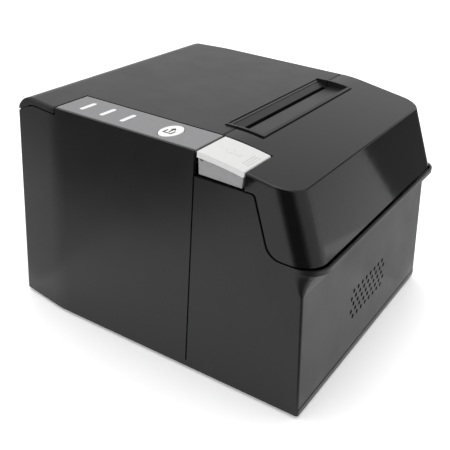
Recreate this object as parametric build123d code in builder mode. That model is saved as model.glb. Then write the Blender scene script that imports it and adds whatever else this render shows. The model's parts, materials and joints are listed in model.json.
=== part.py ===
from build123d import *
import os
from math import atan2, cos, hypot, pi, radians, sin, sqrt

# Receipt printer. Millimetres, +Z up, front towards -Y, the control strip on the -X side.
# The origin is at the bottom centre of the bounding box.

# Overall size
WIDTH = 145.0
DEPTH = 167.0
TOP = 109.5
WALL = 2.4
LEFT = -WIDTH / 2
RIGHT = WIDTH / 2
FRONT = -DEPTH / 2
BACK = DEPTH / 2

# Heights and parting lines of the casing
FOOT_H = 1.5
BASE_TOP = FOOT_H + 3.0
FACE_LOW = FRONT + 2.5
FACE_HIGH = FRONT + 6.3
BAND_LOW = 60.0
BAND_HIGH = 70.0
RIM_TOP = 72.2
RIM_LIP = 1.1
RECESS = 1.8
SEAM_Y = -22.0
SEAM_GAP = 0.7
CORNER_R = 11.0
SHARP_R = 1.2

# Paper cover
LID_BOTTOM = 73.0
LID_FRONT = FRONT + 2.2
LID_T = 2.2
LID_ROUND = 1.0
SLOPE_TOP_Y = -70.2
SLOPE_TOP_Z = 102.0
LID_FLAT_Y = -22.5
LID_TANGENT_Y = -34.0
LID_FALL = 9.0
EAR_TOP = 98.0
OUTLINE_GAP = 0.8
HINGE_Y = LID_FRONT + 6.8
HINGE_Z = LID_BOTTOM + 5.0
HINGE_PIN_R = 1.0
HINGE_XS = (-44.0, 44.0)
KNUCKLE_W = 6.0
KNUCKLE_R = 2.1
LUG_W = 3.6
LUG_X = KNUCKLE_W / 2 + 0.4 + LUG_W / 2

# Control strip, indicators and feed button
STRIP_W = 22.0
STRIP_T = 1.5
STRIP_END_Y = 55.0
STRIP_EDGE_X = LEFT + STRIP_W
STRIP_RIM = 1.1
STRIP_GAP = 0.7
LEDGE_Z = TOP - STRIP_T - 4.9
LAMP_YS = (44.7, 33.0, 21.4)
LAMP_X = LEFT + 11.2
LAMP_LENGTH = 10.4
LAMP_WIDTH = 2.2
BUTTON_X = LEFT + 10.9
BUTTON_Y = -2.5
BUTTON_RX = 7.3
BUTTON_RY = 4.7

# Top cover
SKIRT_Z = TOP - 3.2
COVER_GAP = 0.6
PARTING_DIP = 9.5
REAR_TAPER = 4.5
REAR_R = 2.0
BACK_ROUND = 12.0
BACK_SOLID = 7.5

# Paper exit
SLOT_MID_X = 7.5
FRAME_W = 94.0
FRAME_LIP = 1.5
FRAME_GAP = 0.3
FRAME_FRONT_Y = -36.1
FRAME_BACK_Y = -15.4
FRAME_RISE = 0.7
REAR_STEP = 0.4
SLIT_W = 83.0
SLIT_Z = TOP - 2.5
SLIT_LIP = 1.5
EXIT_BOTTOM = TOP - 7.5
PAPER_Y = -22.3
SLIT_HALF = 1.1

# Print mechanism
PLATEN_R = 6.5
PLATEN_Y = PAPER_Y - 0.2 - PLATEN_R
PLATEN_Z = 87.0
SHAFT_R = 3.0
MODULE = 0.8
PLATEN_TEETH = 20
IDLER_TEETH = 40
PINION_TEETH = 12
GEAR_X = 64.6
GEAR_W = 4.0
DRIVE_ANGLE = -66.0
MOTOR_ANGLE = 10.0
SIDE_X = 62.0
PLATE_T = 1.5
HEAD_BACK_Y = PAPER_Y + 2.4
BUCKET_R = 29.0
BUCKET_Y = -44.8
BUCKET_Z = 40.0
BUCKET_X = (-36.0, 51.0)
BUCKET_T = 1.8

# Lever
LEVER_W = 21.6
LEVER_FRONT_Y = -46.2
LEVER_BACK_Y = SEAM_Y - 1.4
LEVER_T = 2.8
LEVER_PIN_R = 1.0
LEVER_PIVOT_Y = LEVER_BACK_Y - 2.0
LEVER_PIVOT_Z = TOP - 3.1
LEVER_EAR_R = 2.2

# Cutter
CUT_Z = 98.8
BLADE_T = 0.8
RACK_X = -31.0
CUT_PINION_TEETH = 12
CUT_PINION_Y = 5.5

SCREW_XY = ((-60.0, -66.0), (60.0, -66.0), (-58.0, 66.0), (58.0, 66.0))
FOOT_XY = ((-58.0, -52.0), (58.0, -52.0), (-56.0, 54.0), (56.0, 54.0))


def save(builder, label):
    """Labels one finished piece and writes its STEP file."""
    builder.part.label = label
    export_step(builder.part, f"parts/{label}.step")


def box_between(low, high, mode=Mode.ADD):
    """A box given by its low and high corners."""
    size = [b - a for a, b in zip(low, high)]
    middle = [(a + b) / 2 for a, b in zip(low, high)]
    with Locations(tuple(middle)):
        Box(*size, mode=mode)


def lid_height(y):
    """Height of the paper cover's top surface: flat at the seam, then an arc into a fall."""
    fall = radians(LID_FALL)
    arc_r = (LID_FLAT_Y - LID_TANGENT_Y) / sin(fall)
    if y >= LID_FLAT_Y:
        return TOP
    if y >= LID_TANGENT_Y:
        return TOP - arc_r + sqrt(arc_r**2 - (LID_FLAT_Y - y) ** 2)
    drop = arc_r * (1 - cos(fall))
    return TOP - drop - (LID_TANGENT_Y - y) * (sin(fall) / cos(fall))


def slope_run():
    """How far the front slope goes back for each millimetre it rises."""
    return (SLOPE_TOP_Y - LID_FRONT) / (SLOPE_TOP_Z - LID_BOTTOM)


# ---------------------------------------------------------------- casing


def front_plan(front, inset, corner):
    """Plan of the front housing: a rectangle with its two front corners rounded."""
    with BuildSketch() as plan:
        with BuildLine():
            Polyline(
                (LEFT + inset, SEAM_Y),
                (LEFT + inset, front + inset),
                (RIGHT - inset, front + inset),
                (RIGHT - inset, SEAM_Y),
                close=True,
            )
        make_face()
        fillet(plan.vertices().group_by(Axis.Y)[0], corner)
    return plan.sketch


def face_y(z):
    """Where the front face stands at height z: it leans back a little as it rises."""
    return FACE_LOW + (FACE_HIGH - FACE_LOW) * (z - FOOT_H) / (BAND_LOW - FOOT_H)


def front_form(inset, bottom):
    """The front housing's outer form, moved inwards by inset."""
    # From the leaning face the front sweeps out to the rim while its corners grow round.
    steps = 5
    levels = [(bottom, face_y(bottom), SHARP_R)]
    for step in range(steps + 1):
        share = step / steps
        z = BAND_LOW + (BAND_HIGH - BAND_LOW) * sin(share * pi / 2)
        y = FACE_HIGH + (FRONT - FACE_HIGH) * (1 - cos(share * pi / 2))
        radius = SHARP_R + (CORNER_R - SHARP_R) * share
        levels.append((z, y, radius))
    high_plan = front_plan(FRONT, inset, CORNER_R - inset)
    with BuildPart() as form:
        for low, high in zip(levels[:-1], levels[1:]):
            for z, y, radius in (low, high):
                section = front_plan(y, inset, max(SHARP_R, radius - inset))
                with BuildSketch(Plane.XY.offset(z)):
                    add(section)
            loft(ruled=True)
        with BuildSketch(Plane.XY.offset(BAND_HIGH)):
            add(high_plan)
        extrude(amount=RIM_TOP - BAND_HIGH)
    return form.part


def side_outline(gap):
    """The paper cover's lower edge seen from the side, lowered by gap, closed below."""
    lean = 0.34
    foot_y = -60.6 + gap
    head_y = foot_y + (EAR_TOP + OUTLINE_GAP - LID_BOTTOM) * lean
    foot = (foot_y, LID_BOTTOM - gap)
    head = (head_y, EAR_TOP + OUTLINE_GAP - gap)
    with BuildSketch() as outline:
        with BuildLine():
            Polyline(
                (FRONT - 5, foot[1]),
                foot,
                head,
                (SEAM_Y + 2, head[1]),
                (SEAM_Y + 2, 0),
                (FRONT - 5, 0),
                close=True,
            )
        make_face()
        fillet(outline.vertices().sort_by_distance(foot)[0], 8.0)
        fillet(outline.vertices().sort_by_distance(head)[0], 2.0)
    return outline.sketch


def make_front_housing():
    outline = side_outline(OUTLINE_GAP)
    outer = front_form(0, BASE_TOP)
    inner = front_form(WALL, BASE_TOP - 1)
    with BuildSketch() as lip:
        add(front_plan(FRONT, RIM_LIP, CORNER_R - RIM_LIP))
        with Locations((0, SEAM_Y)):
            Rectangle(2 * WIDTH, 2 * (SEAM_Y - FRONT - CORNER_R), mode=Mode.SUBTRACT)
    lip_plan = lip.sketch
    with BuildPart() as ears:
        with BuildSketch(Plane.YZ.offset(LEFT)):
            add(outline)
        extrude(amount=WIDTH)
        box_between((LEFT + WALL, FRONT - 9, 0), (RIGHT - WALL, 0, 120), Mode.SUBTRACT)
        box_between((LEFT, FRONT - 9, 0), (RIGHT, SEAM_Y + 5, RIM_TOP - 2), Mode.SUBTRACT)
        box_between((LEFT, FRONT - 9, 0), (RIGHT, FRONT + CORNER_R, 120), Mode.SUBTRACT)
    with BuildPart() as housing:
        add(outer)
        add(inner, mode=Mode.SUBTRACT)
        box_between((LEFT + WALL, -60, 0), (RIGHT - WALL, SEAM_Y, 80), Mode.SUBTRACT)
        # Inside its outer lip the rim drops away under the paper cover's edge.
        with BuildSketch(Plane.XY.offset(RIM_TOP - RECESS)):
            add(lip_plan)
        extrude(amount=2 * RECESS, mode=Mode.SUBTRACT)
        add(ears.part)
        box_between((LEFT - 1, SEAM_Y - SEAM_GAP, 0), (RIGHT + 1, 20, 120), Mode.SUBTRACT)
        # Vent holes: staggered rows of eight and nine.
        rows = 5
        for row in range(rows):
            count = 8 if row % 2 == 0 else 9
            row_z = 20.5 + FOOT_H + (rows - 1 - row) * 3.45
            with Locations(Location((0, face_y(row_z), row_z), (90, 0, 0))):
                with GridLocations(4.95, 1, count, 1):
                    Cylinder(1.15, 3 * WALL, mode=Mode.SUBTRACT)
        # Screw bosses at the two front corners.
        for x, y in SCREW_XY[:2]:
            with Locations((x, y, BASE_TOP + 9)):
                Cylinder(4.0, 18)
                Cylinder(1.3, 18.2, mode=Mode.SUBTRACT)
            side = LEFT if x < 0 else RIGHT
            box_between((min(x, side) + 1, y - 1, BASE_TOP), (max(x, side) - 1, y + 1, BASE_TOP + 14))
            with Locations((x, y, BASE_TOP + 9)):
                Cylinder(1.3, 18.2, mode=Mode.SUBTRACT)
    save(housing, "front_housing")


def rear_plan(inset, start_y):
    """Plan of the rear half: straight sides, a gentle taper behind the strip, round corners."""
    with BuildSketch() as plan:
        with BuildLine():
            Polyline(
                (LEFT + inset, start_y),
                (LEFT + inset, STRIP_END_Y),
                (LEFT + REAR_TAPER + inset, BACK - inset),
                (RIGHT - REAR_TAPER - inset, BACK - inset),
                (RIGHT - inset, STRIP_END_Y),
                (RIGHT - inset, start_y),
                close=True,
            )
        make_face()
        fillet(plan.vertices().group_by(Axis.Y)[-1], max(REAR_R - inset, 0.6))
        bends = plan.vertices().filter_by_position(Axis.Y, STRIP_END_Y - 1, STRIP_END_Y + 1)
        fillet(bends, 60.0)
    return plan.sketch


def cover_parting(gap):
    """Region under the top cover's lower edge, which dips down round the back."""
    dip = (72.0, SKIRT_Z - gap)
    with BuildSketch() as region:
        with BuildLine():
            Polyline(
                (SEAM_Y - 5, SKIRT_Z - gap),
                dip,
                (BACK + 2, TOP - PARTING_DIP - gap),
                (BACK + 2, 0),
                (SEAM_Y - 5, 0),
                close=True,
            )
        make_face()
        fillet(region.vertices().sort_by_distance(dip)[0], 12.0)
    return region.sketch


def back_profile(inset):
    """Side profile of the rear half, inset all round: flat on top and rounded down to the back."""
    with BuildSketch() as profile:
        with BuildLine():
            Polyline(
                (SEAM_Y - 5, 0),
                (BACK - inset, 0),
                (BACK - inset, TOP - inset),
                (SEAM_Y - 5, TOP - inset),
                close=True,
            )
        make_face()
        fillet(profile.vertices().sort_by(Axis.X)[-2:].sort_by(Axis.Y)[-1], BACK_ROUND - inset)
    return profile.sketch


def make_rear_housing():
    parting = cover_parting(COVER_GAP)
    outer = rear_plan(0, SEAM_Y)
    inner = rear_plan(WALL, SEAM_Y - 1)
    with BuildPart() as limit:
        with BuildSketch(Plane.YZ.offset(LEFT - 1)):
            add(parting)
        extrude(amount=WIDTH + 2)
        # Beside the control strip the side wall carries a ledge and a thin rim round the strip.
        box_between((LEFT - 1, SEAM_Y - 5, 90), (STRIP_EDGE_X - 0.3, STRIP_END_Y, TOP - STRIP_T - 0.1))
        box_between((LEFT - 1, SEAM_Y - 5, 90), (LEFT + STRIP_RIM, STRIP_END_Y, TOP - 0.2))
    with BuildPart() as housing:
        with BuildSketch(Plane.XY.offset(BASE_TOP)):
            add(outer)
        extrude(amount=TOP - BASE_TOP)
        with BuildSketch(Plane.YZ.offset(LEFT - 1)):
            add(back_profile(0))
        extrude(amount=WIDTH + 2, mode=Mode.INTERSECT)
        with BuildSketch(Plane.XY.offset(BASE_TOP - 1)):
            add(inner)
        extrude(amount=TOP, mode=Mode.SUBTRACT)
        # Ledge that carries the strip, open over the panel board.
        box_between((LEFT + 1, SEAM_Y, LEDGE_Z), (STRIP_EDGE_X - 0.3, STRIP_END_Y, TOP - STRIP_T))
        box_between((LEFT + WALL, SEAM_Y + 3, 90), (STRIP_EDGE_X - 3, STRIP_END_Y - 3, TOP), Mode.SUBTRACT)
        add(limit.part, mode=Mode.INTERSECT)
        # Opening for the connector panel and the one for the power switch.
        box_between((-50, BACK - 9, 8), (34, BACK + 1, 30), Mode.SUBTRACT)
        box_between((42.6, BACK - 9, 12.5), (61.4, BACK + 1, 25.5), Mode.SUBTRACT)
        box_between((41.4, BACK - 1.0, 11.4), (62.6, BACK + 1, 26.6), Mode.SUBTRACT)
        for x, y in SCREW_XY[2:]:
            with Locations((x, y, BASE_TOP + 9)):
                Cylinder(4.0, 18)
            side = LEFT + 2 if x < 0 else RIGHT - 2
            box_between((min(x, side), y - 1, BASE_TOP), (max(x, side), y + 1, BASE_TOP + 14))
            with Locations((x, y, BASE_TOP + 9)):
                Cylinder(1.3, 18.2, mode=Mode.SUBTRACT)
    save(housing, "rear_housing")


def make_top_cover():
    parting = cover_parting(0)
    outer = rear_plan(0, SEAM_Y)
    inner = rear_plan(WALL, SEAM_Y + WALL)
    with BuildPart() as limit:
        with BuildSketch(Plane.YZ.offset(LEFT - 1)):
            add(parting)
        extrude(amount=WIDTH + 2)
    with BuildPart() as hollow:
        with BuildSketch(Plane.XY.offset(TOP - 2 * BACK_ROUND)):
            add(inner)
        extrude(amount=2 * BACK_ROUND)
        with BuildSketch(Plane.YZ.offset(LEFT - 1)):
            add(back_profile(WALL))
        extrude(amount=WIDTH + 2, mode=Mode.INTERSECT)
        # The rounded back is thick, so that nothing shows through the parting line.
        box_between((LEFT, BACK - BACK_SOLID, 0), (RIGHT, BACK, TOP), Mode.SUBTRACT)
    with BuildPart() as cover:
        with BuildSketch(Plane.XY.offset(TOP - BACK_ROUND)):
            add(outer)
        extrude(amount=BACK_ROUND)
        top_edges = cover.faces().sort_by(Axis.Z)[-1].edges()
        fillet(top_edges.filter_by_position(Axis.Y, SEAM_Y - 1, BACK - BACK_ROUND - 0.5), 1.2)
        with BuildSketch(Plane.YZ.offset(LEFT - 1)):
            add(back_profile(0))
        extrude(amount=WIDTH + 2, mode=Mode.INTERSECT)
        add(hollow.part, mode=Mode.SUBTRACT)
        add(limit.part, mode=Mode.SUBTRACT)
        box_between(
            (LEFT - 1, SEAM_Y - 1, 90), (STRIP_EDGE_X + STRIP_GAP, STRIP_END_Y + STRIP_GAP, TOP + 1), Mode.SUBTRACT
        )
        box_between(
            (SLOT_MID_X - FRAME_W / 2, SEAM_Y - 1, 90),
            (SLOT_MID_X + FRAME_W / 2, FRAME_BACK_Y, TOP + 1),
            Mode.SUBTRACT,
        )
    save(cover, "top_cover")


def make_base_plate():
    rear_half = rear_plan(0, SEAM_Y)
    front_half = front_plan(FACE_LOW, 0, SHARP_R)
    with BuildPart() as base:
        with BuildSketch(Plane.XY.offset(FOOT_H)):
            add(rear_half)
            add(front_half)
        extrude(amount=BASE_TOP - FOOT_H)
        with Locations(*[(x, y, FOOT_H) for x, y in FOOT_XY]):
            Cylinder(7.1, 3.0, mode=Mode.SUBTRACT)
        with Locations(*[(x, y, BASE_TOP) for x, y in SCREW_XY]):
            Cylinder(1.7, 12, mode=Mode.SUBTRACT)
        with Locations(*[(x, y, FOOT_H) for x, y in SCREW_XY]):
            Cylinder(3.4, 4.0, mode=Mode.SUBTRACT)
    save(base, "base_plate")


def make_feet_and_screws():
    with BuildPart() as feet:
        with Locations(*[(x, y, FOOT_H) for x, y in FOOT_XY]):
            Cylinder(7.0, 2 * FOOT_H)
        fillet(feet.edges().group_by(Axis.Z)[0], 0.4)
    save(feet, "rubber_feet")
    with BuildPart() as screws:
        with Locations(*[(x, y, FOOT_H + 0.5) for x, y in SCREW_XY]):
            Cylinder(3.0, 1.5, align=(Align.CENTER, Align.CENTER, Align.MIN))
        with Locations(*[(x, y, FOOT_H + 0.6) for x, y in SCREW_XY]):
            Cylinder(1.28, 14, align=(Align.CENTER, Align.CENTER, Align.MIN))
        with Locations(*[(x, y, FOOT_H) for x, y in SCREW_XY]):
            Box(3.6, 0.7, 2.4, mode=Mode.SUBTRACT)
            Box(0.7, 3.6, 2.4, mode=Mode.SUBTRACT)
    save(screws, "case_screws")


# ---------------------------------------------------------------- paper cover


def lid_form(inset, bottom):
    """The paper cover's outer form, moved inwards by inset and running down to bottom."""
    run = slope_run()
    lean = hypot(1, run)
    front = LID_FRONT + inset * lean - (LID_BOTTOM - bottom) * run
    # The slope is a rounded plan swept up along the slope's own direction.
    with BuildPart() as prism:
        with BuildSketch(Plane.XY.offset(bottom)) as base:
            with BuildLine():
                Polyline(
                    (LEFT + inset, SEAM_Y + 40),
                    (LEFT + inset, front),
                    (RIGHT - inset, front),
                    (RIGHT - inset, SEAM_Y + 40),
                    close=True,
                )
            make_face()
            fillet(base.vertices().group_by(Axis.Y)[0], CORNER_R - inset)
        extrude(amount=(TOP + 5 - bottom) * lean, dir=(0, run, 1))
    with BuildPart() as form:
        with BuildSketch(Plane.YZ.offset(LEFT + inset)):
            with BuildLine():
                flat = Line((SEAM_Y + 1, TOP - inset), (LID_FLAT_Y, TOP - inset))
                bend = JernArc(
                    start=flat @ 1,
                    tangent=(-1, 0),
                    radius=(LID_FLAT_Y - LID_TANGENT_Y) / sin(radians(LID_FALL)) - inset,
                    arc_size=LID_FALL,
                )
                fall = Line(bend @ 1, (bend @ 1) + (bend % 1) * 60)
                Line(fall @ 1, (FRONT - 30, bottom))
                Line((FRONT - 30, bottom), (SEAM_Y + 1, bottom))
                Line((SEAM_Y + 1, bottom), flat @ 0)
            make_face()
        extrude(amount=WIDTH - 2 * inset)
        add(prism.part, mode=Mode.INTERSECT)
    return form.part


def make_lid_shell():
    outline = side_outline(0)
    outer = lid_form(0, LID_BOTTOM)
    inner = lid_form(LID_T, LID_BOTTOM - 2)
    with BuildPart() as low_side:
        with BuildSketch(Plane.YZ.offset(LEFT - 1)):
            add(outline)
        extrude(amount=WIDTH + 2)
    with BuildPart() as lid:
        add(outer)
        rim = lid.edges().filter_by_position(Axis.Z, 100.5, TOP + 1)
        rim = rim.filter_by_position(Axis.Y, FRONT, SEAM_Y - 0.5)
        fillet(rim, LID_ROUND)
        add(inner, mode=Mode.SUBTRACT)
        # Hinge lugs on both sides of each bracket.
        for x in [x + side for x in HINGE_XS for side in (-LUG_X, LUG_X)]:
            with Locations(Location((x, HINGE_Y, HINGE_Z), (0, 90, 0))):
                Cylinder(3.0, LUG_W)
            box_between(
                (x - LUG_W / 2, HINGE_Y - 2.6, HINGE_Z - 1.5), (x + LUG_W / 2, HINGE_Y, HINGE_Z + 3)
            )
        add(low_side.part, mode=Mode.SUBTRACT)
        box_between((LEFT, SEAM_Y - 0.3, 90), (RIGHT, SEAM_Y + 5, TOP + 1), Mode.SUBTRACT)
        # Room for the lever, with a wall beside it.
        notch_x = LEFT + LEVER_W + 0.7
        box_between(
            (notch_x, LEVER_FRONT_Y - 0.7 - LID_T, EAR_TOP + OUTLINE_GAP),
            (notch_x + LID_T, SEAM_Y - 0.3, lid_height(LEVER_FRONT_Y) - 0.5),
        )
        box_between(
            (LEFT, LEVER_FRONT_Y - 0.7 - LID_T, EAR_TOP + OUTLINE_GAP),
            (notch_x + LID_T, LEVER_FRONT_Y - 0.7, lid_height(LEVER_FRONT_Y) - 2.5),
        )
        box_between((LEFT - 1, LEVER_FRONT_Y - 0.7, 90), (notch_x, SEAM_Y + 5, TOP + 1), Mode.SUBTRACT)
        box_between(
            (SLOT_MID_X - FRAME_W / 2, FRAME_FRONT_Y, 90),
            (SLOT_MID_X + FRAME_W / 2, SEAM_Y + 5, TOP + 1),
            Mode.SUBTRACT,
        )
        # Seats for the bracket knuckles, open to the back and below, and the pin bores.
        for x in HINGE_XS:
            half = KNUCKLE_W / 2 + 0.4
            with Locations(Location((x, HINGE_Y, HINGE_Z), (0, 90, 0))):
                Cylinder(KNUCKLE_R + 0.4, 2 * half, mode=Mode.SUBTRACT)
                Cylinder(HINGE_PIN_R, 30, mode=Mode.SUBTRACT)
            box_between((x - half, HINGE_Y, HINGE_Z - 4), (x + half, HINGE_Y + 6, HINGE_Z + 4), Mode.SUBTRACT)
    save(lid, "lid_shell")


def make_hinges():
    with BuildPart() as brackets:
        for x in HINGE_XS:
            with BuildSketch(Plane.YZ.offset(x - KNUCKLE_W / 2)):
                with Locations((HINGE_Y, HINGE_Z)):
                    Circle(KNUCKLE_R)
                with BuildLine():
                    # Goose neck: back over the cover's swing, down, then forward to the wall.
                    Polyline(
                        (HINGE_Y, HINGE_Z - 1.6),
                        (HINGE_Y + 9.2, HINGE_Z - 1.6),
                        (HINGE_Y + 9.2, HINGE_Z - 9.5),
                        (FACE_HIGH + WALL - 1.2, HINGE_Z - 9.5),
                        (face_y(HINGE_Z - 18) + WALL + 0.1, HINGE_Z - 18),
                        (face_y(HINGE_Z - 28) + WALL + 0.1, HINGE_Z - 28),
                        (FACE_HIGH + WALL + 2.6, HINGE_Z - 28),
                        (FACE_HIGH + WALL + 2.6, HINGE_Z - 12.5),
                        (HINGE_Y + 12.4, HINGE_Z - 12.5),
                        (HINGE_Y + 12.4, HINGE_Z + 1.6),
                        (HINGE_Y, HINGE_Z + 1.6),
                        close=True,
                    )
                make_face()
            extrude(amount=KNUCKLE_W)
        for x in HINGE_XS:
            with Locations(Location((x, HINGE_Y, HINGE_Z), (0, 90, 0))):
                Cylinder(HINGE_PIN_R + 0.05, 20, mode=Mode.SUBTRACT)
    save(brackets, "hinge_brackets")
    with BuildPart() as pins:
        for x in HINGE_XS:
            with Locations(Location((x, HINGE_Y, HINGE_Z), (0, 90, 0))):
                Cylinder(HINGE_PIN_R, KNUCKLE_W + 7.6)
    save(pins, "hinge_pins")


# ---------------------------------------------------------------- paper exit


def exit_block():
    """The whole exit surround before it is parted: a frame round a trough that falls to a slit."""
    front_y = FRAME_FRONT_Y + FRAME_GAP
    back_y = FRAME_BACK_Y - FRAME_GAP
    bend_y = (LID_FLAT_Y + LID_TANGENT_Y) / 2
    low_x = SLOT_MID_X - FRAME_W / 2 + FRAME_GAP
    width = FRAME_W - 2 * FRAME_GAP
    with BuildPart() as block:
        with BuildSketch(Plane.YZ.offset(low_x)):
            with BuildLine():
                # The top stands a little above the paper cover and follows its curve.
                Line((back_y, EXIT_BOTTOM), (back_y, TOP + FRAME_RISE))
                Line((back_y, TOP + FRAME_RISE), (LID_FLAT_Y, TOP + FRAME_RISE))
                ThreePointArc(
                    (LID_FLAT_Y, TOP + FRAME_RISE),
                    (bend_y, lid_height(bend_y) + FRAME_RISE),
                    (LID_TANGENT_Y, lid_height(LID_TANGENT_Y) + FRAME_RISE),
                )
                Line(
                    (LID_TANGENT_Y, lid_height(LID_TANGENT_Y) + FRAME_RISE),
                    (front_y, lid_height(front_y) + FRAME_RISE),
                )
                Line((front_y, lid_height(front_y) + FRAME_RISE), (front_y, EXIT_BOTTOM))
                Line((front_y, EXIT_BOTTOM), (back_y, EXIT_BOTTOM))
            make_face()
        extrude(amount=width)
        fillet(block.edges().filter_by(Axis.Z), 0.8)
        with BuildSketch(Plane.YZ.offset(low_x + FRAME_LIP)):
            with BuildLine():
                Polyline(
                    (front_y + FRAME_LIP, TOP + 5),
                    (front_y + FRAME_LIP, SLIT_Z + 0.6),
                    (PAPER_Y, SLIT_Z),
                    (back_y - FRAME_LIP, TOP - REAR_STEP - 0.3),
                    (back_y - FRAME_LIP, TOP + 5),
                    close=True,
                )
            make_face()
        extrude(amount=width - 2 * FRAME_LIP, mode=Mode.SUBTRACT)
        # The slit, undercut below its lips.
        box_between(
            (SLOT_MID_X - SLIT_W / 2, PAPER_Y - SLIT_HALF, EXIT_BOTTOM - 1),
            (SLOT_MID_X + SLIT_W / 2, PAPER_Y + SLIT_HALF, TOP),
            Mode.SUBTRACT,
        )
        box_between(
            (SLOT_MID_X - SLIT_W / 2, PAPER_Y - 4 * SLIT_HALF, EXIT_BOTTOM - 1),
            (SLOT_MID_X + SLIT_W / 2, PAPER_Y + 4 * SLIT_HALF, SLIT_Z - SLIT_LIP),
            Mode.SUBTRACT,
        )
    return block.part


def make_exit_parts():
    block = exit_block()
    low_x = SLOT_MID_X - SLIT_W / 2
    high_x = SLOT_MID_X + SLIT_W / 2
    with BuildPart() as front_frame:
        add(block)
        box_between((-80, SEAM_Y - 0.3, 90), (80, 0, 120), Mode.SUBTRACT)
        box_between((low_x - 0.4, PAPER_Y, 90), (high_x + 0.4, 0, 120), Mode.SUBTRACT)
    save(front_frame, "exit_frame_front")
    with BuildPart() as rear_guide:
        add(block)
        box_between((-80, -60, 90), (low_x, SEAM_Y + 0.1, 120), Mode.SUBTRACT)
        box_between((high_x, -60, 90), (80, SEAM_Y + 0.1, 120), Mode.SUBTRACT)
        box_between((-80, -60, 90), (80, PAPER_Y, 120), Mode.SUBTRACT)
        # Behind the opening the guide is a little below the top cover. Its ends stand up with the frame.
        frame_end = FRAME_W / 2 - FRAME_GAP - FRAME_LIP
        box_between(
            (SLOT_MID_X - frame_end, SEAM_Y, TOP - REAR_STEP),
            (SLOT_MID_X + frame_end, 0, TOP + 5),
            Mode.SUBTRACT,
        )
    save(rear_guide, "exit_guide_rear")
    teeth = 54
    pitch = SLIT_W / teeth
    with BuildPart() as bar:
        with BuildSketch(Plane.XY.offset(CUT_Z + BLADE_T + 0.2)):
            with BuildLine():
                # Zigzag tear edge towards the paper.
                points = [(low_x, PAPER_Y - 16.2)]
                for tooth in range(teeth):
                    points.append((low_x + tooth * pitch, PAPER_Y - 2.1))
                    points.append((low_x + (tooth + 0.5) * pitch, PAPER_Y - 1.3))
                points.append((high_x, PAPER_Y - 2.1))
                points.append((high_x, PAPER_Y - 16.2))
                Polyline(*points, close=True)
            make_face()
        extrude(amount=1.0)
    save(bar, "fixed_blade")


# ---------------------------------------------------------------- gears


def gear_face(teeth, phase, bore):
    """A spur gear outline with involute flanks and a little backlash; phase aims a tooth."""
    pitch_r = MODULE * teeth / 2
    base_r = pitch_r * cos(radians(20))
    tip_r = pitch_r + 0.95 * MODULE
    root_r = pitch_r - 1.25 * MODULE
    flank_steps = 4
    inv_pitch = sqrt((pitch_r / base_r) ** 2 - 1) - atan2(sqrt(pitch_r**2 - base_r**2), base_r)
    half_pitch = pi / (2 * teeth) - 0.05 * MODULE / pitch_r

    def half_angle(radius):
        radius = max(radius, base_r)
        roll = sqrt((radius / base_r) ** 2 - 1)
        return half_pitch + inv_pitch - (roll - atan2(roll, 1))

    start_r = max(base_r, root_r)
    radii = [start_r + (tip_r - start_r) * step / flank_steps for step in range(flank_steps + 1)]
    if root_r < base_r:
        radii.insert(0, root_r)
    points = []
    for tooth in range(teeth):
        middle = radians(phase) + 2 * pi * tooth / teeth
        for radius in radii:
            angle = middle - half_angle(radius)
            points.append((radius * cos(angle), radius * sin(angle)))
        for radius in reversed(radii):
            angle = middle + half_angle(radius)
            points.append((radius * cos(angle), radius * sin(angle)))
    with BuildSketch() as face:
        with BuildLine():
            Polyline(*points, close=True)
        make_face()
        if bore > 0:
            Circle(bore, mode=Mode.SUBTRACT)
    return face.sketch


def mesh_phase(teeth_a, phase_a, teeth_b, angle):
    """The phase of gear b that meshes with gear a, when b lies from a at this angle."""
    tooth_offset = phase_a - angle
    return angle + 180 - tooth_offset * teeth_a / teeth_b + 180 / teeth_b


def gear_centre(centre, teeth_a, teeth_b, angle):
    reach = MODULE * (teeth_a + teeth_b) / 2
    return (centre[0] + reach * cos(radians(angle)), centre[1] + reach * sin(radians(angle)))


PLATEN = (PLATEN_Y, PLATEN_Z)
IDLER = gear_centre(PLATEN, PLATEN_TEETH, IDLER_TEETH, DRIVE_ANGLE)
PINION = gear_centre(IDLER, IDLER_TEETH, PINION_TEETH, MOTOR_ANGLE)
PLATEN_PHASE = DRIVE_ANGLE
IDLER_PHASE = mesh_phase(PLATEN_TEETH, PLATEN_PHASE, IDLER_TEETH, DRIVE_ANGLE)
PINION_PHASE = mesh_phase(IDLER_TEETH, IDLER_PHASE, PINION_TEETH, MOTOR_ANGLE)


def rod(y, z, radius, low_x, high_x, mode=Mode.ADD):
    """A round bar along X."""
    with Locations(Location(((low_x + high_x) / 2, y, z), (0, 90, 0))):
        Cylinder(radius, high_x - low_x, mode=mode)


def make_gear(label, centre, teeth, phase, bore, hub_r, hub_low_x):
    face = gear_face(teeth, phase, bore)
    with BuildPart() as gear:
        with BuildSketch(Plane.YZ.offset(GEAR_X)):
            with Locations(centre):
                add(face)
        extrude(amount=GEAR_W)
        if hub_r > 0:
            rod(centre[0], centre[1], hub_r, hub_low_x, GEAR_X)
            rod(centre[0], centre[1], bore, hub_low_x - 1, GEAR_X + 1, Mode.SUBTRACT)
    save(gear, label)


# ---------------------------------------------------------------- platen and its drive


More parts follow.
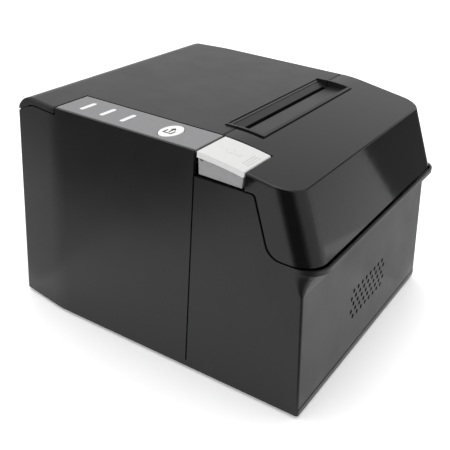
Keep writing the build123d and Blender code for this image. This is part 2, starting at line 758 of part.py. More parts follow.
def make_platen():
    low_x = SLOT_MID_X - 40.5
    high_x = SLOT_MID_X + 40.5
    with BuildPart() as shaft:
        rod(PLATEN_Y, PLATEN_Z, SHAFT_R, low_x - 9.5, GEAR_X + GEAR_W)
    save(shaft, "platen_shaft")
    with BuildPart() as rubber:
        rod(PLATEN_Y, PLATEN_Z, PLATEN_R, low_x, high_x)
        rod(PLATEN_Y, PLATEN_Z, SHAFT_R, low_x - 1, high_x + 1, Mode.SUBTRACT)
    save(rubber, "platen_rubber")
    make_gear("platen_gear", PLATEN, PLATEN_TEETH, PLATEN_PHASE, SHAFT_R, 0, 0)
    with BuildPart() as bearings:
        for x in (low_x - 5.0, high_x + 3.0):
            rod(PLATEN_Y, PLATEN_Z, 4.6, x, x + 2.0)
            rod(PLATEN_Y, PLATEN_Z, SHAFT_R + 0.05, x - 1, x + 3, Mode.SUBTRACT)
    save(bearings, "platen_bearings")


def make_lid_liner():
    low_x = SLOT_MID_X - 40.5 - 5.0
    high_x = SLOT_MID_X + 40.5 + 3.0
    under = lid_height(-43) - LID_T - 0.2
    with BuildPart() as liner:
        for x in (low_x, high_x):
            box_between((x, -44, 81), (x + 2.0, PLATEN_Y + 5.8, CUT_Z + BLADE_T + 1.2))
            rod(PLATEN_Y, PLATEN_Z, 4.6, x - 1, x + 3, Mode.SUBTRACT)
        box_between((low_x, -44, 81), (high_x + 2, -42, under - 0.8))
        box_between((low_x, -44, CUT_Z + BLADE_T + 1.2), (high_x + 2, PAPER_Y - 2.7, EXIT_BOTTOM))
        # Paper guide plate that leads the paper up from the roll.
        box_between((low_x, -44, 81), (high_x + 2, -41, 83))
    save(liner, "lid_liner")


def make_drive():
    make_gear("idler_gear", IDLER, IDLER_TEETH, IDLER_PHASE, 2.05, 0, 0)
    with BuildPart() as axle:
        rod(IDLER[0], IDLER[1], 2.0, SIDE_X, GEAR_X + GEAR_W + 0.6)
        rod(IDLER[0], IDLER[1], 3.2, GEAR_X + GEAR_W + 0.1, GEAR_X + GEAR_W + 0.7)
    save(axle, "idler_axle")
    make_gear("motor_pinion", PINION, PINION_TEETH, PINION_PHASE, 1.5, 0, 0)
    with BuildPart() as spindle:
        rod(PINION[0], PINION[1], 1.5, SIDE_X - 8, GEAR_X + GEAR_W + 0.4)
    save(spindle, "motor_spindle")
    with BuildPart() as motor:
        rod(PINION[0], PINION[1], 14.0, SIDE_X - 18, SIDE_X)
        fillet(motor.edges().group_by(Axis.X)[0], 1.0)
        rod(PINION[0], PINION[1], 1.55, SIDE_X - 9, SIDE_X + 1, Mode.SUBTRACT)
    save(motor, "feed_motor")


def make_head():
    low_x = SLOT_MID_X - 42
    high_x = SLOT_MID_X + 42
    with BuildPart() as head:
        box_between((low_x, PAPER_Y + 0.1, 79), (high_x, HEAD_BACK_Y, 97))
        box_between((low_x - 1, PAPER_Y - 1, 91.5), (high_x + 1, PAPER_Y + 0.9, 98), Mode.SUBTRACT)
    save(head, "thermal_print_head")
    with BuildPart() as sink:
        box_between((low_x, HEAD_BACK_Y, 78), (high_x, HEAD_BACK_Y + 6, 97))
        for fin in range(11):
            x = low_x + 6 + fin * 7.2
            box_between((x - 2.2, HEAD_BACK_Y + 2.8, 77), (x + 2.2, HEAD_BACK_Y + 7, 98), Mode.SUBTRACT)
    save(sink, "heat_sink")
    with BuildPart() as springs:
        for x in (SLOT_MID_X - 21.7, SLOT_MID_X + 21.5):
            for turn in range(4):
                with Locations(Location((x, HEAD_BACK_Y + 6.7 + turn * 1.25, 90), (90, 0, 0))):
                    Torus(2.6, 0.55)
    save(springs, "head_springs")


def make_chassis():
    with BuildPart() as chassis:
        for x in (-46.0 - PLATE_T, SIDE_X):
            front_y = PAPER_Y - 2.2 if x > 0 else PAPER_Y + 3.8
            with BuildSketch(Plane.YZ.offset(x)):
                with BuildLine():
                    Polyline(
                        (-6, BASE_TOP),
                        (28, BASE_TOP),
                        (28, CUT_Z - 1.2),
                        (PAPER_Y + 2.8, CUT_Z - 1.2),
                        (PAPER_Y + 2.8, 78),
                        (front_y, 73),
                        (front_y, 58),
                        (-6, 44),
                        close=True,
                    )
                make_face()
            extrude(amount=PLATE_T)
            inner = x - 6 if x < 0 else x + PLATE_T
            box_between((inner, -6, BASE_TOP), (inner + 6, 28, BASE_TOP + PLATE_T))
        box_between((-46, HEAD_BACK_Y + 11.6, 84), (SIDE_X, HEAD_BACK_Y + 13.1, CUT_Z - 1.2))
        box_between((-46, 26.5, 60), (SIDE_X, 28, CUT_Z - 1.2))
        rod(IDLER[0], IDLER[1], 2.0, SIDE_X - 1, SIDE_X + 3, Mode.SUBTRACT)
        rod(PINION[0], PINION[1], 4.0, SIDE_X - 1, SIDE_X + 3, Mode.SUBTRACT)
    save(chassis, "mechanism_chassis")


def make_bucket():
    outer_r = BUCKET_R + BUCKET_T
    lip_y = face_y(BAND_LOW) + WALL + 0.5
    lean = (lip_y - (BUCKET_Y - outer_r)) / (BAND_LOW - BUCKET_Z)
    inner_lip_y = BUCKET_Y - BUCKET_R + lean * (80 - BUCKET_Z)
    with BuildPart() as bucket:
        with BuildSketch(Plane.YZ.offset(BUCKET_X[0])):
            with BuildLine():
                # Round under the roll, up along the front face, leaning to the head behind.
                Line((lip_y, BAND_LOW), (BUCKET_Y - outer_r, BUCKET_Z))
                ThreePointArc(
                    (BUCKET_Y - outer_r, BUCKET_Z),
                    (BUCKET_Y, BUCKET_Z - outer_r),
                    (BUCKET_Y + outer_r, BUCKET_Z),
                )
                ThreePointArc(
                    (BUCKET_Y + outer_r, BUCKET_Z),
                    (BUCKET_Y + outer_r * cos(radians(24)), BUCKET_Z + outer_r * sin(radians(24))),
                    (BUCKET_Y + outer_r * cos(radians(45)), BUCKET_Z + outer_r * sin(radians(45))),
                )
                Line(
                    (BUCKET_Y + outer_r * cos(radians(45)), BUCKET_Z + outer_r * sin(radians(45))),
                    (-21.9, 76),
                )
                Line((-21.9, 76), (-28, 76))
                Line((-28, 76), (-60, 60))
                Line((-60, 60), (lip_y, BAND_LOW))
            make_face()
        extrude(amount=BUCKET_X[1] - BUCKET_X[0])
        with BuildSketch(Plane.YZ.offset(BUCKET_X[0] + BUCKET_T)):
            with BuildLine():
                Line((inner_lip_y, 80), (BUCKET_Y - BUCKET_R, BUCKET_Z))
                ThreePointArc(
                    (BUCKET_Y - BUCKET_R, BUCKET_Z),
                    (BUCKET_Y, BUCKET_Z - BUCKET_R),
                    (BUCKET_Y + BUCKET_R, BUCKET_Z),
                )
                ThreePointArc(
                    (BUCKET_Y + BUCKET_R, BUCKET_Z),
                    (BUCKET_Y + BUCKET_R * cos(radians(24)), BUCKET_Z + BUCKET_R * sin(radians(24))),
                    (BUCKET_Y + BUCKET_R * cos(radians(45)), BUCKET_Z + BUCKET_R * sin(radians(45))),
                )
                Line(
                    (BUCKET_Y + BUCKET_R * cos(radians(45)), BUCKET_Z + BUCKET_R * sin(radians(45))),
                    (-23.7, 80),
                )
                Line((-23.7, 80), (inner_lip_y, 80))
            make_face()
        extrude(amount=BUCKET_X[1] - BUCKET_X[0] - 2 * BUCKET_T, mode=Mode.SUBTRACT)
        # Feet that stand on the base plate.
        for x in (BUCKET_X[0], BUCKET_X[1] - 6):
            box_between((x, BUCKET_Y - 14, BASE_TOP), (x + 6, BUCKET_Y - 10, BUCKET_Z - outer_r + 4))
            box_between((x, BUCKET_Y + 10, BASE_TOP), (x + 6, BUCKET_Y + 14, BUCKET_Z - outer_r + 4))
        with BuildSketch(Plane.YZ.offset(BUCKET_X[0] + BUCKET_T)):
            with Locations((BUCKET_Y, BUCKET_Z)):
                Circle(BUCKET_R)
        extrude(amount=BUCKET_X[1] - BUCKET_X[0] - 2 * BUCKET_T, mode=Mode.SUBTRACT)
        # Cut back at the front right corner for the hinge bracket's leg.
        box_between((39.5, -80, 47), (55, -60, 80), Mode.SUBTRACT)
    save(bucket, "paper_bucket")
    with BuildPart() as sensor:
        box_between((BUCKET_X[0] - 5, -50, 14), (BUCKET_X[0], -40, 24))
        fillet(sensor.edges().filter_by(Axis.X), 1.0)
    save(sensor, "paper_low_sensor")


# ---------------------------------------------------------------- cutter


def make_cutter():
    rack_pitch = pi * MODULE
    with BuildPart() as tray:
        box_between((-46 - PLATE_T, PAPER_Y + 4.3, CUT_Z - 1.2), (SIDE_X + PLATE_T, 28, CUT_Z - 0.2))
        with Locations((RACK_X - MODULE * CUT_PINION_TEETH / 2, CUT_PINION_Y, CUT_Z)):
            Cylinder(1.6, 5, mode=Mode.SUBTRACT)
    save(tray, "cutter_tray")
    with BuildPart() as blade:
        box_between((SLOT_MID_X - 43, PAPER_Y + 1.4, CUT_Z), (SLOT_MID_X + 43, PAPER_Y + 23.8, CUT_Z + BLADE_T))
        chamfer(blade.edges().filter_by(Axis.X).sort_by(Axis.Y)[0:1], 0.5)
    save(blade, "cutter_blade")
    low_z = CUT_Z + BLADE_T
    tooth_root = RACK_X + 1.25 * MODULE
    with BuildPart() as carrier:
        box_between((tooth_root, CUT_PINION_Y - 10, low_z), (46, CUT_PINION_Y + 13, low_z + 3))
        box_between((-22, CUT_PINION_Y - 6, low_z + 1.2), (38, CUT_PINION_Y + 8, low_z + 4), Mode.SUBTRACT)
        for tooth in range(8):
            tooth_y = CUT_PINION_Y + rack_pitch * (tooth - 2.5)
            with BuildSketch(Plane.XY.offset(low_z)):
                with BuildLine():
                    Polyline(
                        (tooth_root + 0.1, tooth_y - 1.02),
                        (RACK_X - 0.95 * MODULE, tooth_y - 0.32),
                        (RACK_X - 0.95 * MODULE, tooth_y + 0.32),
                        (tooth_root + 0.1, tooth_y + 1.02),
                        close=True,
                    )
                make_face()
            extrude(amount=3)
    save(carrier, "blade_carrier")
    centre = (RACK_X - MODULE * CUT_PINION_TEETH / 2, CUT_PINION_Y)
    face = gear_face(CUT_PINION_TEETH, 0, 0)
    with BuildPart() as pinion:
        with BuildSketch(Plane.XY.offset(low_z)):
            with Locations(centre):
                add(face)
        extrude(amount=3)
        with Locations((centre[0], centre[1], low_z)):
            Cylinder(1.5, 12, align=(Align.CENTER, Align.CENTER, Align.MAX))
    save(pinion, "cutter_pinion")
    with BuildPart() as motor:
        with Locations((centre[0], centre[1], CUT_Z - 1.2)):
            Cylinder(7.5, 24, align=(Align.CENTER, Align.CENTER, Align.MAX))
            Cylinder(1.55, 12, align=(Align.CENTER, Align.CENTER, Align.MAX), mode=Mode.SUBTRACT)
    save(motor, "cutter_motor")


# ---------------------------------------------------------------- control strip and lever


def make_control_strip():
    with BuildPart() as strip:
        box_between((LEFT + STRIP_RIM + 0.2, SEAM_Y, TOP - STRIP_T), (STRIP_EDGE_X, STRIP_END_Y, TOP))
        fillet(strip.edges().group_by(Axis.Z)[-1], 0.35)
        with BuildSketch(Plane.XY.offset(TOP - 5)):
            with Locations(*[(LAMP_X, y) for y in LAMP_YS]):
                SlotOverall(LAMP_LENGTH + 0.2, LAMP_WIDTH + 0.2)
            with Locations((BUTTON_X, BUTTON_Y)):
                Ellipse(BUTTON_RX + 0.35, BUTTON_RY + 0.35)
        extrude(amount=10, mode=Mode.SUBTRACT)
    save(strip, "control_strip")
    with BuildPart() as lamps:
        with BuildSketch(Plane.XY.offset(TOP - 3.4)):
            with Locations(*[(LAMP_X, y) for y in LAMP_YS]):
                SlotOverall(LAMP_LENGTH, LAMP_WIDTH)
        extrude(amount=3.5)
    save(lamps, "indicator_windows")
    with BuildPart() as button:
        with BuildSketch(Plane.XY.offset(TOP - 2.6)):
            with Locations((BUTTON_X, BUTTON_Y)):
                Ellipse(BUTTON_RX, BUTTON_RY)
        extrude(amount=2.9)
        fillet(button.edges().group_by(Axis.Z)[-1], 0.25)
        with BuildSketch(Plane.XY.offset(TOP - 2.6)):
            with Locations((BUTTON_X, BUTTON_Y)):
                Ellipse(BUTTON_RX + 0.5, BUTTON_RY + 0.6)
        extrude(amount=0.9)
        with Locations((BUTTON_X, BUTTON_Y, TOP - 3.6)):
            Cylinder(1.6, 2.2)
    save(button, "feed_button")
    with BuildPart() as board:
        box_between((LEFT + 3.0, SEAM_Y + 1.5, LEDGE_Z - 1.6), (STRIP_EDGE_X - 1.4, STRIP_END_Y - 1, LEDGE_Z))
        box_between((BUTTON_X - 3, BUTTON_Y - 3, LEDGE_Z), (BUTTON_X + 3, BUTTON_Y + 3, LEDGE_Z + 0.4))
        for y in LAMP_YS:
            box_between((LAMP_X - 1.5, y - 0.8, LEDGE_Z), (LAMP_X + 1.5, y + 0.8, LEDGE_Z + 1.2))
    save(board, "panel_board")


def make_lever():
    low_x = LEFT + 0.2
    high_x = LEFT + LEVER_W
    top_back = TOP - 0.1
    top_mid = lid_height(-35) - 0.1
    top_front = lid_height(LEVER_FRONT_Y) - 0.1
    with BuildPart() as cap:
        with BuildSketch(Plane.YZ.offset(low_x)) as profile:
            with BuildLine():
                ThreePointArc((LEVER_BACK_Y, top_back), (-35, top_mid), (LEVER_FRONT_Y, top_front))
                Line((LEVER_FRONT_Y, top_front), (LEVER_FRONT_Y, top_front - LEVER_T))
                ThreePointArc(
                    (LEVER_FRONT_Y, top_front - LEVER_T),
                    (-35, top_mid - LEVER_T),
                    (LEVER_BACK_Y, top_back - LEVER_T),
                )
                Line((LEVER_BACK_Y, top_back - LEVER_T), (LEVER_BACK_Y, top_back))
            make_face()
            fillet(profile.vertices().sort_by(Axis.X)[0:2], 0.9)
        extrude(amount=high_x - low_x)
        fillet(cap.edges().group_by(Axis.X)[0].sort_by(Axis.Z)[-1], 0.4)
        box_between(
            (low_x + 3.2, LEVER_PIVOT_Y - 3.4, 100),
            (high_x - 3.2, LEVER_BACK_Y + 1, LEVER_PIVOT_Z + LEVER_EAR_R + 0.15),
            Mode.SUBTRACT,
        )
        rod(LEVER_PIVOT_Y, LEVER_PIVOT_Z, LEVER_PIN_R + 0.3, low_x + 0.6, high_x - 0.6, Mode.SUBTRACT)
    save(cap, "lever_cap")
    with BuildPart() as arm:
        with BuildSketch(Plane.YZ.offset(low_x + 0.7)):
            with BuildLine():
                ThreePointArc(
                    (LEVER_FRONT_Y + 0.7, top_front - LEVER_T + 0.03),
                    (-35, top_mid - LEVER_T - 0.06),
                    (LEVER_BACK_Y - 0.3, top_back - LEVER_T - 0.06),
                )
                Line((LEVER_BACK_Y - 0.3, top_back - LEVER_T - 0.06), (LEVER_BACK_Y - 0.9, EAR_TOP + 1.3))
                Line((LEVER_BACK_Y - 0.9, EAR_TOP + 1.3), (LEVER_FRONT_Y + 1.1, EAR_TOP + 0.9))
                Line((LEVER_FRONT_Y + 1.1, EAR_TOP + 0.9), (LEVER_FRONT_Y + 0.7, top_front - LEVER_T + 0.03))
            make_face()
        extrude(amount=high_x - low_x - 1.4)
        box_between((low_x + 3.2, LEVER_FRONT_Y + 5, 90), (high_x - 3.2, LEVER_BACK_Y + 1, 120), Mode.SUBTRACT)
        rod(LEVER_PIVOT_Y, LEVER_PIVOT_Z, LEVER_PIN_R + 0.05, low_x, high_x, Mode.SUBTRACT)
    save(arm, "lever_arm")
    with BuildPart() as pin:
        rod(LEVER_PIVOT_Y, LEVER_PIVOT_Z, LEVER_PIN_R, low_x + 1.0, high_x - 1.0)
    save(pin, "lever_pin")
    with BuildPart() as bracket:
        box_between((low_x + 3.6, -22.9, LEDGE_Z), (high_x - 3.6, SEAM_Y, TOP - 3.0))
        for x in (low_x + 3.6, high_x - 4.8):
            with BuildSketch(Plane.YZ.offset(x)):
                with Locations((LEVER_PIVOT_Y, LEVER_PIVOT_Z)):
                    Circle(LEVER_EAR_R)
                with BuildLine():
                    Polyline(
                        (LEVER_PIVOT_Y - 1.4, LEVER_PIVOT_Z - 1.6),
                        (-22.5, LEDGE_Z),
                        (-22.5, TOP - 3.0),
                        (LEVER_PIVOT_Y, TOP - 3.0),
                        close=True,
                    )
                make_face()
            extrude(amount=1.2)
        rod(LEVER_PIVOT_Y, LEVER_PIVOT_Z, LEVER_PIN_R, low_x, high_x, Mode.SUBTRACT)
    save(bracket, "lever_bracket")
    with BuildPart() as spring:
        for turn in range(5):
            x = (low_x + high_x) / 2 + (turn - 2) * 1.1
            with Locations(Location((x, LEVER_PIVOT_Y, LEVER_PIVOT_Z), (0, 90, 0))):
                Torus(1.6, 0.3)
    save(spring, "lever_spring")


# ---------------------------------------------------------------- electronics and sockets

BOARD_Z = 12.0
BOARD_TOP = BOARD_Z + 1.6
PANEL_Y = 75.6
SOCKETS = (
    ("power_inlet", -40.0, 13.0, 12.0),
    ("usb_socket", -22.0, 12.0, 11.0),
    ("network_socket", -2.0, 16.0, 13.4),
    ("drawer_socket", 19.0, 13.6, 12.6),
)


def make_sockets():
    back_y = PANEL_Y + 2.4
    for label, x, width, height in SOCKETS:
        with BuildPart() as socket:
            box_between((x - width / 2, 61, BOARD_TOP), (x + width / 2, back_y, BOARD_TOP + height))
            box_between(
                (x - width / 2 + 1.3, back_y - 11, BOARD_TOP + 1.5),
                (x + width / 2 - 1.3, back_y + 1, BOARD_TOP + height - 1.5),
                Mode.SUBTRACT,
            )
            tongue_h = 2.0 if label != "power_inlet" else 1.4
            box_between(
                (x - width / 4, back_y - 12, BOARD_TOP + 1.4),
                (x + width / 4, back_y - 3, BOARD_TOP + 1.4 + tongue_h),
            )
        save(socket, label)
    with BuildPart() as panel:
        box_between((-52, PANEL_Y, 6), (36, BACK - WALL, 32))
        box_between((-50.4, PANEL_Y + 1.6, 7.6), (34.4, BACK, 30.4), Mode.SUBTRACT)
        for label, x, width, height in SOCKETS:
            box_between(
                (x - width / 2 - 0.2, PANEL_Y - 1, BOARD_TOP - 0.2),
                (x + width / 2 + 0.2, PANEL_Y + 3, BOARD_TOP + height + 0.2),
                Mode.SUBTRACT,
            )
    save(panel, "connector_panel")
    with BuildPart() as board:
        box_between((-48.5, 31, BOARD_Z), (38, 75, BOARD_TOP))
        box_between((-43, -4, BOARD_Z), (52, 31, BOARD_TOP))
        box_between((-20, 4, BOARD_TOP), (-4, 20, BOARD_TOP + 1.6))
        box_between((10, 8, BOARD_TOP), (24, 16, BOARD_TOP + 1.6))
        with Locations(*[(x, 48, BOARD_TOP + 6) for x in (-38, -26, 30)]):
            Cylinder(4.2, 12)
        for x, y in ((-38, 0), (48, 0), (-38, 26), (48, 26)):
            with Locations((x, y, (BASE_TOP + BOARD_Z) / 2)):
                Cylinder(2.2, BOARD_Z - BASE_TOP)
    save(board, "main_board")
    with BuildPart() as buzzer:
        with Locations((40, 22, BOARD_TOP + 3.5)):
            Cylinder(6.0, 7.0)
            Cylinder(1.0, 7.2, mode=Mode.SUBTRACT)
    save(buzzer, "buzzer")


SWITCH_X = 52.0
SWITCH_Z = 19.0
SWITCH_PIVOT_Y = BACK - 3.4
SWITCH_TILT = 7.0


def make_power_switch():
    with BuildPart() as frame:
        box_between((SWITCH_X - 10.4, BACK - 1.0, SWITCH_Z - 7.4), (SWITCH_X + 10.4, BACK, SWITCH_Z + 7.4))
        box_between((SWITCH_X - 9.3, BACK - 12, SWITCH_Z - 6.4), (SWITCH_X + 9.3, BACK, SWITCH_Z + 6.4))
        box_between(
            (SWITCH_X - 8.6, BACK - 8, SWITCH_Z - 5.4), (SWITCH_X + 8.6, BACK + 2, SWITCH_Z + 5.4), Mode.SUBTRACT
        )
        with Locations((SWITCH_X, SWITCH_PIVOT_Y, SWITCH_Z)):
            Cylinder(0.9, 12.4, mode=Mode.SUBTRACT)
    save(frame, "switch_frame")
    with BuildPart() as rocker:
        with BuildSketch(Plane.XY.offset(SWITCH_Z - 5.1)):
            with BuildLine():
                # Two faces that meet in a shallow valley, turned so that one side is pressed in.
                Polyline((-7.9, 2.2), (0, 1.2), (7.9, 2.2), (7.2, -3.2), (-7.2, -3.2), close=True)
            make_face()
        extrude(amount=10.2)
        with Locations((0, 0, SWITCH_Z)):
            Cylinder(0.85, 12.2)
    turned = rocker.part.moved(Location((SWITCH_X, SWITCH_PIVOT_Y, 0), (0, 0, SWITCH_TILT)))
    turned.label = "power_rocker"
    export_step(turned, "parts/power_rocker.step")


os.makedirs("parts", exist_ok=True)
make_front_housing()
make_rear_housing()
make_top_cover()
make_base_plate()
make_feet_and_screws()
make_lid_shell()
make_hinges()
make_exit_parts()
make_platen()
make_lid_liner()
make_drive()
make_head()
make_chassis()
make_bucket()
make_cutter()
make_control_strip()
make_lever()
make_sockets()
make_power_switch()
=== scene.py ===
"""Receipt printer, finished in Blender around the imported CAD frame. Metres, +Z up, front towards -Y."""

import json
import math

import bmesh
import bpy
from mathutils import Matrix, Vector


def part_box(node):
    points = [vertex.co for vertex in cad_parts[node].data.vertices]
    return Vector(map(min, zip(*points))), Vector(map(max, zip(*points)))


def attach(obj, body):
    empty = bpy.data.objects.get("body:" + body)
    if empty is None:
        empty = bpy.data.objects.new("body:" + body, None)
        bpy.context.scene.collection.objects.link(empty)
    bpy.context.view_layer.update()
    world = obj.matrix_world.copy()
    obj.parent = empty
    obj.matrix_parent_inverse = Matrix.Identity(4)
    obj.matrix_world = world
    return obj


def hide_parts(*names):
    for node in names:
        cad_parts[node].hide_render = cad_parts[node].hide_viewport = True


MM = 0.001

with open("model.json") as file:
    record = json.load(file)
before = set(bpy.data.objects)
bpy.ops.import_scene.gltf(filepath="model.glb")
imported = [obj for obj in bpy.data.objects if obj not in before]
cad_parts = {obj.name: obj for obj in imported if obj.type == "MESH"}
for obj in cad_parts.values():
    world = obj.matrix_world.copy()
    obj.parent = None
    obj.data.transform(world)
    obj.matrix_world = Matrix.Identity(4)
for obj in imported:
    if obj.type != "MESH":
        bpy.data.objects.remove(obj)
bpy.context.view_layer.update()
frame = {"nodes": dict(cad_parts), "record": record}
nodes = frame["nodes"]
scene = bpy.context.scene


# ---------------------------------------------------------------- camera and studio


def make_camera():
    """A camera to the front left and above, with a small roll and shift."""
    azimuth, elevation, roll = math.radians(299.66), math.radians(23.58), math.radians(4.14)
    eye = (-0.30811, -0.18039, 0.22813)
    level = math.cos(elevation)
    back = Vector((math.sin(azimuth) * level, -math.cos(azimuth) * level, math.sin(elevation)))
    right = Vector((0, 0, 1)).cross(back).normalized()
    up = back.cross(right)
    side = math.cos(roll) * right + math.sin(roll) * up
    top = back.cross(side)
    camera = bpy.data.objects.new("camera", bpy.data.cameras.new("camera"))
    scene.collection.objects.link(camera)
    turn = Matrix((side, top, back)).transposed().to_4x4()
    camera.matrix_world = Matrix.Translation(eye) @ turn
    camera.data.lens = 60.4
    camera.data.sensor_width = 36.0
    camera.data.shift_x = -0.044
    camera.data.shift_y = -0.133
    camera.data.clip_start = 0.01
    scene.camera = camera


def area_light(name, place, target, size, power):
    light = bpy.data.objects.new(name, bpy.data.lights.new(name, "AREA"))
    light.data.shape = "RECTANGLE"
    light.data.size, light.data.size_y = size
    light.data.energy = power
    light.location = place
    light.rotation_mode = "QUATERNION"
    light.rotation_quaternion = (Vector(target) - Vector(place)).to_track_quat("-Z", "Y")
    scene.collection.objects.link(light)
    return light


def paint(name, color, roughness):
    material = bpy.data.materials.new(name)
    material.use_nodes = True
    shader = material.node_tree.nodes["Principled BSDF"]
    shader.inputs["Base Color"].default_value = (color, color, color, 1)
    shader.inputs["Roughness"].default_value = roughness
    return material


def stage_card(name, corners, darkness=1.0):
    """A flat four-cornered dark card that only shows in reflections."""
    mesh = bpy.data.meshes.new(name)
    mesh.from_pydata([Vector(c) for c in corners], [], [(0, 1, 2, 3)])
    black = paint(name + "_paint", 0.0, 1.0)
    shader = black.node_tree.nodes["Principled BSDF"]
    shader.inputs["Specular IOR Level"].default_value = 0.0
    shader.inputs["Alpha"].default_value = darkness
    mesh.materials.append(black)
    card = bpy.data.objects.new(name, mesh)
    card.visible_camera = False
    card.visible_diffuse = False
    card.visible_shadow = False
    scene.collection.objects.link(card)


def floor_card(name, low, high, darkness=1.0):
    """A card that lies just above the floor between two corners."""
    (x0, y0), (x1, y1), z = low, high, 2 * MM
    stage_card(name, [(x0, y0, z), (x1, y0, z), (x1, y1, z), (x0, y1, z)], darkness)


def wall_card(name, start, end, low, high, levels=(1.0,)):
    """Cards side by side that stand on a line between two plan points, one for each level of darkness."""
    start, end = Vector(start), Vector(end)
    for i, level in enumerate(levels):
        here = start.lerp(end, i / len(levels))
        there = start.lerp(end, (i + 1) / len(levels))
        corners = [(*here, low), (*there, low), (*there, high), (*here, high)]
        stage_card(f"{name}_{i}", corners, level)


def make_studio():
    """A pale floor in a pale room, one soft box above, and dark cards that shape the reflections."""
    world = bpy.data.worlds.new("room")
    scene.world = world
    world.use_nodes = True
    background = world.node_tree.nodes["Background"]
    background.inputs["Color"].default_value = (1.0, 1.0, 1.0, 1.0)
    background.inputs["Strength"].default_value = 1.0
    scene.view_settings.view_transform = "Standard"
    area_light("soft_box_top", (0.1, 0.2, 0.9), (0, 0, 0.05), (0.8, 0.8), 4.0)
    mesh = bpy.data.meshes.new("floor")
    form = bmesh.new()
    bmesh.ops.create_grid(form, x_segments=1, y_segments=1, size=4.0)
    form.to_mesh(mesh)
    form.free()
    floor = bpy.data.objects.new("floor", mesh)
    floor.location.z = -0.0002
    scene.collection.objects.link(floor)
    paper = paint("floor_paper", 0.97, 0.9)
    shader = paper.node_tree.nodes["Principled BSDF"]
    shader.inputs["Emission Color"].default_value = (1, 1, 1, 1)
    shader.inputs["Emission Strength"].default_value = 0.2
    mesh.materials.append(paper)
    floor_card("card_left", (-0.9, 0.055), (-0.17, 0.75))
    floor_card("card_rear", (-0.17, 0.085), (-0.075, 0.5), 0.4)
    floor_card("card_front", (-0.06, -0.8), (0.06, -0.085), 0.1)
    floor_card("card_front_right", (0.06, -0.8), (0.32, -0.085), 0.4)
    floor_card("card_foot", (-0.17, -0.18), (-0.076, -0.088), 0.9)
    fade = (0.15, 0.4, 0.7, 0.9, 1.0, 1.0, 1.0, 1.0, 1.0, 0.9, 0.7, 0.4, 0.15)
    wall_card("card_corner", (-0.20, -0.035), (-0.10, -0.20), 0.0, 0.3, fade)
    wall_card("card_right", (0.40, -0.296), (0.40, 0.02), 0.0, 0.14, (0.88,))
    wall_card("card_slope", (0.40, -0.5), (0.40, -0.296), 0.0, 0.14, (0.3,))
    wall_card("card_crease", (0.5, -0.32), (0.5, -0.10), 0.3, 0.62)
    wall_card("card_back", (1.0, -0.1), (1.0, 2.0), 0.2, 1.4, (0.2,))


# ---------------------------------------------------------------- materials


class Finish:
    """Builds one procedural material, adding colour variation, roughness and bump in turn."""

    def __init__(self, name, color, roughness, metallic=0.0):
        self.material = bpy.data.materials.new(name)
        self.material.use_nodes = True
        self.tree = self.material.node_tree
        self.shader = self.tree.nodes["Principled BSDF"]
        self.color = color
        self.roughness = roughness
        self.shader.inputs["Base Color"].default_value = (*color, 1)
        self.shader.inputs["Roughness"].default_value = roughness
        self.shader.inputs["Metallic"].default_value = metallic
        self.normal = None
        self.place = self.tree.nodes.new("ShaderNodeTexCoord").outputs["Object"]

    def noise(self, scale, detail=4.0, stretch=(1, 1, 1)):
        mapping = self.tree.nodes.new("ShaderNodeMapping")
        mapping.inputs["Scale"].default_value = stretch
        self.tree.links.new(self.place, mapping.inputs["Vector"])
        node = self.tree.nodes.new("ShaderNodeTexNoise")
        node.inputs["Scale"].default_value = scale
        node.inputs["Detail"].default_value = detail
        self.tree.links.new(mapping.outputs["Vector"], node.inputs["Vector"])
        return node.outputs["Fac"]

    def between(self, fac, low, high):
        """fac, remapped from its usual 0.3 to 0.7 into low to high."""
        node = self.tree.nodes.new("ShaderNodeMapRange")
        node.inputs["From Min"].default_value = 0.3
        node.inputs["From Max"].default_value = 0.7
        node.inputs["To Min"].default_value = low
        node.inputs["To Max"].default_value = high
        self.tree.links.new(fac, node.inputs["Value"])
        return node.outputs["Result"]

    def vary_color(self, fac, amount):
        """Lightens and darkens the base colour by amount, as fac runs."""
        mix = self.tree.nodes.new("ShaderNodeMix")
        mix.data_type = "RGBA"
        mix.inputs["A"].default_value = (*[c * (1 - amount) for c in self.color], 1)
        mix.inputs["B"].default_value = (*[min(1, c * (1 + amount)) for c in self.color], 1)
        self.tree.links.new(self.between(fac, 0, 1), mix.inputs["Factor"])
        self.tree.links.new(mix.outputs["Result"], self.shader.inputs["Base Color"])
        return self

    def vary_roughness(self, fac, amount):
        varied = self.between(fac, self.roughness - amount, self.roughness + amount)
        self.tree.links.new(varied, self.shader.inputs["Roughness"])
        return self

    def bump(self, fac, distance, strength=1.0):
        node = self.tree.nodes.new("ShaderNodeBump")
        node.inputs["Distance"].default_value = distance
        node.inputs["Strength"].default_value = strength
        self.tree.links.new(fac, node.inputs["Height"])
        if self.normal is not None:
            self.tree.links.new(self.normal, node.inputs["Normal"])
        self.normal = node.outputs["Normal"]
        self.tree.links.new(self.normal, self.shader.inputs["Normal"])
        return self


def moulded(name, color, roughness, grain=0.35 * MM, depth=0.008 * MM, variation=0.05):
    """Moulded plastic with a fine spark-eroded grain, handling marks and slow tone variation."""
    finish = Finish(name, color, roughness)
    finish.vary_color(finish.noise(420, detail=6), variation)
    finish.vary_roughness(finish.noise(55, detail=6), 0.03)
    finish.bump(finish.noise(1 / grain, detail=2), depth)
    finish.shader.inputs["Specular IOR Level"].default_value = 0.32
    return finish


def polished(name, color, roughness):
    """Polished plastic with the slight waviness of a moulding and faint wipe marks."""
    finish = Finish(name, color, roughness)
    finish.vary_color(finish.noise(300, detail=6), 0.06)
    finish.vary_roughness(finish.noise(160, detail=6, stretch=(1, 4, 4)), 0.02)
    finish.bump(finish.noise(28, detail=1), 0.02 * MM, 0.3)
    finish.shader.inputs["Specular IOR Level"].default_value = 0.3
    return finish


